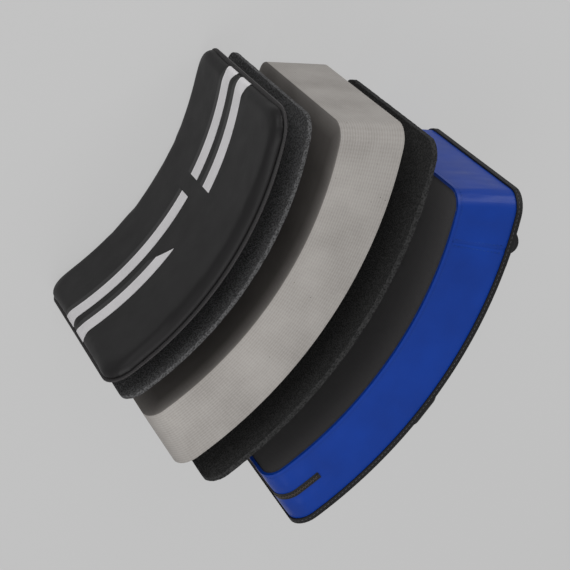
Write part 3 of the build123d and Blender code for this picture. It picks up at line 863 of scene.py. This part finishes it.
def ribbon(name, width, line, thick, shift_u=0.0, roll=0.45 * MM, step=2 * MM):
    """Webbing of this width and thickness laid along a line, with rounded long edges."""
    length = sum(math.dist(a, b) for a, b in zip(line, line[1:]))
    strip = thicken(plate(name, width, length, 0, 5 * MM, step), thick)
    shift(strip, y=-thick / 2)
    flat_map(soften(strip, roll))
    steps = [0.0]
    for a, b in zip(line, line[1:]):
        steps.append(steps[-1] + math.dist(a, b))
    slopes = []
    for i in range(len(line)):
        a, b = line[max(i - 1, 0)], line[min(i + 1, len(line) - 1)]
        slopes.append(Vector((b[0] - a[0], b[1] - a[1])).normalized())
    for v in strip.data.vertices:
        at = max(0.0, min(length - 1e-9, v.co.z + length / 2))
        i = max(k for k in range(len(line) - 1) if steps[k] <= at)
        t = (at - steps[i]) / (steps[i + 1] - steps[i])
        spot = Vector(line[i]).lerp(Vector(line[i + 1]), t)
        way = slopes[i].lerp(slopes[i + 1], t).normalized()
        spot += Vector((-way.y, way.x)) * v.co.y
        v.co = (v.co.x + shift_u, spot.y, spot.x)
    return smooth(strip, 50)


def flip_side(obj):
    """Carry a piece over to the high edge."""
    for v in obj.data.vertices:
        v.co.z = PAD_WIDTH - v.co.z
    obj.data.flip_normals()
    return obj


def seat_on_back(obj, angle):
    turn = math.radians(angle)
    spot = (PANEL_R * math.sin(turn), BACK_Y + PANEL_R * math.cos(turn), 0)
    obj.data.transform(Matrix.Translation(spot) @ Matrix.Rotation(-turn, 4, "Z"))
    return obj


def patch(name, angle, width, z_low, node):
    """Leather patch with a flat top and a soft edge, its underside on the curved panel."""
    block = thicken(plate(name, width, PATCH_LENGTH, 3 * MM, 4 * MM), PATCH_T)
    round_rim(block, PATCH_T, 1.2 * MM, 3)
    for v in block.data.vertices:
        if v.co.y < 0.01 * MM:
            v.co.y = math.sqrt(PANEL_R ** 2 - v.co.x ** 2) - PANEL_R
    shift(smooth(block, 50), z=z_low + PATCH_LENGTH / 2)
    return place(seat_on_back(block, angle), "cover", BACK_LEATHER, (node,), "black_leather")


def box_stitches(name, angle, width, top, high_side):
    """Box with a cross sewn through a strap's foot."""
    w, z0, z1 = width / 2 - 4 * MM, 10 * MM, 22 * MM
    corners = [(-w, z0), (w, z0), (w, z1), (-w, z1)]
    lines = list(zip(corners, corners[1:] + corners[:1])) + [
        (corners[0], corners[2]), (corners[1], corners[3])]
    places = []
    for a, b in lines:
        count = max(2, round(math.dist(a, b) / (3.2 * MM)))
        for i in range(count):
            t = (i + 0.5) / count
            u, z = a[0] + (b[0] - a[0]) * t, a[1] + (b[1] - a[1]) * t
            z = PAD_WIDTH - z if high_side else z
            lean = math.atan2(b[1] - a[1], b[0] - a[0]) * (-1 if high_side else 1)
            places.append(Matrix.Translation((u, top, z)) @ Matrix.Rotation(-lean, 4, "Y"))
    thread = seat_on_back(repeat(stitch(2.3 * MM, 0.7 * MM), name, places), angle)
    return place(thread, "cover", BLACK_THREAD, (), "black_webbing")


arm = Arch(50, STRAP_T)
ring_angle = 50 - 2 * math.degrees(math.asin(RING_PITCH / 2 / arm.radius))
relief = math.degrees(4.9 * MM / arm.radius)
flap_start, flap_offset = ring_angle - relief - 1, 4.4 * MM
flap_end = flap_start - math.degrees(62 * MM / arm.radius)
high_z = PAD_WIDTH - MARGIN - PATCH_LENGTH
for strap, angle in STRAPS.items():
    patch(f"{strap}_patch_low", angle, STRAP_W, MARGIN, f"{strap}_anchor_low")
    patch(f"{strap}_patch_high", angle, STRAP_W, high_z, f"{strap}_anchor_high")
    lead = [(-8, 0), (-6.5, 0.15), (-4.6, 1.0), (-3.0, 2.1)]
    band = [ribbon("band", STRAP_W, arm.foot() + arm.arc(-49, ring_angle - relief), STRAP_T)]
    for side_u in (-1, 1):
        band.append(ribbon("lug", STRAP_W / 4, arm.wrap(ring_angle, lead), STRAP_T - 0.3 * MM,
                           side_u * STRAP_W * 3 / 8, step=1 * MM))
    webbing = seat_on_back(join(band, f"{strap}_webbing"), angle)
    place(webbing, "cover", WEBBING, (f"{strap}_strap",), "black_webbing")

    near = arm.foot(0.45) + arm.wrap(-50, [(-3.6, 1.3)])
    keeper = flip_side(ribbon(f"{strap}_keeper_loop", STRAP_W, near, STRAP_T, step=1 * MM))
    place(seat_on_back(keeper, angle), "cover", WEBBING, (f"{strap}_keeper",), "black_webbing")
    for high_side in (False, True):
        box_stitches(f"{strap}_thread_{'high' if high_side else 'low'}", angle, STRAP_W,
                     PATCH_T + STRAP_T, high_side)

    tongue = [(-9, 4.4), (-6, 4.4), (-4, 4.1), (-2.4, 3.4)]
    flap = [ribbon("flap", STRAP_W, arm.arc(flap_end, flap_start, flap_offset), STRAP_T),
            ribbon("tongue", STRAP_W / 2 - 1 * MM, arm.wrap(ring_angle, tongue), STRAP_T - 0.3 * MM,
                   step=1 * MM)]
    flap = seat_on_back(join(flap, f"{strap}_flap_webbing"), angle)
    place(flap, f"{strap}_flap", WEBBING, (f"{strap}_flap",), "black_webbing")
    patch_end = flap_end + math.degrees(3 * MM / arm.radius)
    hook = ribbon(f"{strap}_hook_pile", 32 * MM, arm.arc(patch_end, flap_start, 2.8 * MM), 0.8 * MM,
                  roll=0.2 * MM)
    place(seat_on_back(hook, angle), f"{strap}_flap", HOOK, (f"{strap}_hook_patch",), "hook_and_loop")
    loop = ribbon(f"{strap}_loop_pile", 32 * MM, arm.arc(patch_end - 6, flap_start, 1.6 * MM),
                  0.8 * MM, roll=0.2 * MM)
    place(seat_on_back(loop, angle), "cover", LOOP, (f"{strap}_loop_patch",), "hook_and_loop")

# ---- forearm pad ----
CUSHION_PLACE, CUSHION_ROOM = 4.45, 1.5 * MM
CUSHION_LENGTH, CUSHION_MARGIN, CUSHION_T = 43 * MM, 4.2 * MM, 8.6 * MM
cushion_width = PAD_WIDTH - 2 * CUSHION_MARGIN - 2 * CUSHION_ROOM
cushion = thicken(plate("forearm_cushion", CUSHION_LENGTH - 2 * CUSHION_ROOM, cushion_width,
                        7 * MM, 5 * MM), CUSHION_T)
round_rim(cushion, CUSHION_T, 3.5 * MM, 4)
cushion.data.transform(Matrix.Rotation(math.pi, 4, "Z"))   # swells towards -Y, its outer side
swell(cushion, 2.6 * MM, 2.2 * MM)
cushion.data.transform(Matrix.Rotation(math.pi, 4, "Z"))
shift(smooth(cushion, 60), z=PAD_WIDTH / 2, y=0.2 * MM)
place(seat_on_back(cushion, CUSHION_PLACE), "cover", BACK_LEATHER, ("forearm_pad",), "black_leather")

# ---- grip ----
grip = Arch(48, 3 * MM)
GRIP_PLACE, SLEEVE = -17.8, 28
patch("grip_anchor_low", GRIP_PLACE, 34 * MM, MARGIN, "grip_patch_low")
patch("grip_anchor_high", GRIP_PLACE, 34 * MM, high_z, "grip_patch_high")
far_foot = [(PAD_WIDTH - z, v) for z, v in reversed(grip.foot())]
grip_band = ribbon("grip_webbing", 18 * MM, grip.foot() + grip.arc(-47, 47) + far_foot, 3 * MM)
place(seat_on_back(grip_band, GRIP_PLACE), "cover", WEBBING, ("grip_strap",), "black_webbing")
for high_side in (False, True):
    box_stitches(f"grip_thread_{'high' if high_side else 'low'}", GRIP_PLACE, 18 * MM,
                 PATCH_T + 3 * MM, high_side)


def grip_tube(name, radius, start, stop, steps):
    """Round bar along the grip's arch, its ends closed."""
    z, v = grip.at(start)
    bpy.ops.object.select_all(action="DESELECT")
    bpy.ops.mesh.primitive_circle_add(vertices=28, radius=radius, fill_type="NGON",
                                      location=(0, v, z), rotation=(math.radians(start), 0, 0))
    bar = fresh(name)
    edit(bar, "FACE")
    bpy.ops.mesh.spin(steps=steps, angle=math.radians(start - stop), axis=(1, 0, 0),
                      center=(0, grip.centre_v, PAD_WIDTH / 2))
    done(bar)
    return outward(bar)


sleeve = grip_tube("grip_sleeve_leather", 11.9 * MM, -SLEEVE, SLEEVE, 44)
soften(sleeve, 2.2 * MM, 3, 60)
for v in sleeve.data.vertices:               # the wrapped leather gathers a little along the bar
    v.co += v.normal * (noise.noise(Vector((v.co.x / 0.02, v.co.y / 0.02, v.co.z / 0.006))) * 0.3 * MM)
place(seat_on_back(smooth(sleeve, 50), GRIP_PLACE), "cover", BACK_LEATHER,
      ("grip_sleeve", "grip_padding"), "black_leather")
cuff_turn = math.degrees(6 * MM / grip.radius)
for end, start in (("low", -SLEEVE), ("high", SLEEVE - cuff_turn)):
    cuff = soften(grip_tube(f"grip_end_cuff_{end}", 13.2 * MM, start, start + cuff_turn, 6), 1.1 * MM, 3, 60)
    place(seat_on_back(smooth(cuff, 50), GRIP_PLACE), "cover", STRIKE_LEATHER, (f"grip_cuff_{end}",),
          "black_leather")

# ---- finishes of the construction's own metal pieces ----
for node, finish in {"elbow_ring": STEEL, "wrist_ring": STEEL, "zip_slider": DARK_METAL,
                     "zip_pull": DARK_METAL, "zip_stop_lower": DARK_METAL,
                     "zip_stop_upper": DARK_METAL}.items():
    for material_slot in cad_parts[node].material_slots:
        material_slot.material = finish

# ---- camera, light and floor ----
camera = bpy.data.objects.new("camera", bpy.data.cameras.new("camera"))
bpy.context.scene.collection.objects.link(camera)
camera.data.lens, camera.data.sensor_width = 116.81, 36
right, down = Vector((-0.54736, 0.75878, 0.35306)), Vector((0.82327, 0.41237, 0.39011))
back_way = right.cross(-down)
turned = Matrix((right, -down, back_way)).transposed().to_4x4()
camera.matrix_world = Matrix.Translation((-0.25899, -1.03841, 1.61574)) @ turned
bpy.context.scene.camera = camera


def lamp(name, place_at, target, size, power, colour="#ffffff"):
    light = bpy.data.objects.new(name, bpy.data.lights.new(name, "AREA"))
    light.data.size, light.data.energy, light.data.color = size, power, linear(colour)[:3]
    light.location = place_at
    light.rotation_mode = "QUATERNION"
    light.rotation_quaternion = (Vector(target) - Vector(place_at)).to_track_quat("-Z", "Y")
    bpy.context.scene.collection.objects.link(light)


lamp("overhead", (0.42, -0.3, 0.95), (0.1, -0.2, 0.2), 0.6, 3.8)
lamp("end_side", (-1.5, 0.1, 0.7), (-0.1, -0.1, 0.1), 0.8, 8)
lamp("front_side", (-0.9, -1.5, 0.9), (-0.1, -0.2, 0.1), 1.0, 8)

BACKDROP = "#c4c4c4"


def seen_directly(tree):
    path = tree.nodes.new("ShaderNodeLightPath")
    return math_node(tree, "MAXIMUM", path.outputs["Is Camera Ray"], path.outputs["Is Glossy Ray"])


world = bpy.data.worlds.new("studio")
bpy.context.scene.world = world
world.use_nodes = True
world.node_tree.nodes.clear()
tree = world.node_tree
soft_light = add(tree, "Background", {"Color": linear("#ffffff"), "Strength": 0.42})
shown = add(tree, "Background", {"Color": linear(BACKDROP), "Strength": 1.0})
mixed = add(tree, "MixShader", {0: seen_directly(tree), 1: soft_light, 2: shown})
tree.links.new(mixed, tree.nodes.new("ShaderNodeOutputWorld").inputs["Surface"])

bpy.ops.object.select_all(action="DESELECT")
bpy.ops.mesh.primitive_plane_add(size=8, location=(0, 0, -0.6 * MM))
floor = fresh("floor")
material, tree, _ = begin("pale_studio_floor")
plain = add(tree, "BsdfDiffuse", {"Color": linear(BACKDROP)})
glow = add(tree, "Emission", {"Color": linear(BACKDROP), "Strength": 1.0})
share = math_node(tree, "MULTIPLY", seen_directly(tree), 0.85)
mixed = add(tree, "MixShader", {0: share, 1: plain, 2: glow})
tree.links.new(mixed, tree.nodes.new("ShaderNodeOutputMaterial").inputs["Surface"])
floor.data.materials.append(material)

bpy.context.scene.view_settings.view_transform = "Standard"
